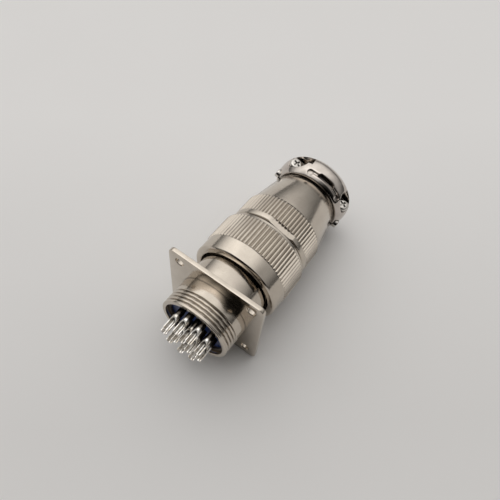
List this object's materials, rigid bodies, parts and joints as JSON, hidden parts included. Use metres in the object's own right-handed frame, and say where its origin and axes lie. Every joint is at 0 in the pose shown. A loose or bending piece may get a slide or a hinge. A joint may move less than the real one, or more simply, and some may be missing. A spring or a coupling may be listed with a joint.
{
  "type": "circular connector",
  "caption": "Mated circular connector: square-flange panel receptacle with solder cups, knurled coupling nut, cable plug with tapered backshell and screw cable clamp.",
  "frame": {"origin": "centre of the four flange holes, on the flange face that lies against the panel", "axes": "+X along the connector's axis, from the solder cups towards the cable end; +Z to the flange's top edge; +Y completes the right-handed frame"},
  "size_m": [0.086, 0.038, 0.038],
  "materials": {
    "nickel_plate": "satin nickel plate",
    "bright_nickel": "bright nickel plate on a pressed and tumbled ring",
    "plated_screw": "bright plated steel",
    "spring_steel": "dark oxide spring steel",
    "silver_contact": "silver plate over brass",
    "blue_insulator": "moulded dark blue thermoset",
    "gasket_rubber": "black rubber"
  },
  "bodies": {
    "receptacle": {"receptacle_shell": "nickel_plate", "receptacle_rear_insulator": "blue_insulator", "receptacle_front_insulator": "blue_insulator", "receptacle_retaining_ring": "spring_steel", "pin_contact_01": "silver_contact", "pin_contact_02": "silver_contact", "pin_contact_03": "silver_contact", "pin_contact_04": "silver_contact", "pin_contact_05": "silver_contact", "pin_contact_06": "silver_contact", "pin_contact_07": "silver_contact", "pin_contact_08": "silver_contact", "pin_contact_09": "silver_contact", "pin_contact_10": "silver_contact", "pin_contact_11": "silver_contact", "pin_contact_12": "silver_contact"},
    "plug": {"plug_shell": "nickel_plate", "plug_front_insulator": "blue_insulator", "plug_rear_insulator": "blue_insulator", "plug_retaining_ring": "spring_steel", "coupling_gasket": "gasket_rubber", "nut_retaining_ring": "spring_steel", "backshell": "nickel_plate", "clamp_upper_half": "bright_nickel", "clamp_lower_half": "bright_nickel", "clamp_screw_left": "plated_screw", "clamp_screw_right": "plated_screw", "locating_screw_left": "plated_screw", "locating_screw_right": "plated_screw", "socket_contact_01": "silver_contact", "socket_contact_02": "silver_contact", "socket_contact_03": "silver_contact", "socket_contact_04": "silver_contact", "socket_contact_05": "silver_contact", "socket_contact_06": "silver_contact", "socket_contact_07": "silver_contact", "socket_contact_08": "silver_contact", "socket_contact_09": "silver_contact", "socket_contact_10": "silver_contact", "socket_contact_11": "silver_contact", "socket_contact_12": "silver_contact"},
    "coupling_nut": {"coupling_nut": "nickel_plate"}
  },
  "joints": [
    {"name": "plug_draw", "type": "slide", "parent": "receptacle", "child": "plug", "axis": [1, 0, 0], "range_m": [0, 0.009]},
    {"name": "coupling_nut_turn", "type": "hinge", "parent": "plug", "child": "coupling_nut", "pos_m": [0.02, 0, 0], "axis": [1, 0, 0], "range_deg": [0, 2160]}
  ],
  "couplings": [
    {"joint": "plug_draw", "follows": "coupling_nut_turn", "m_per_rad": 0.00023873}
  ]
}
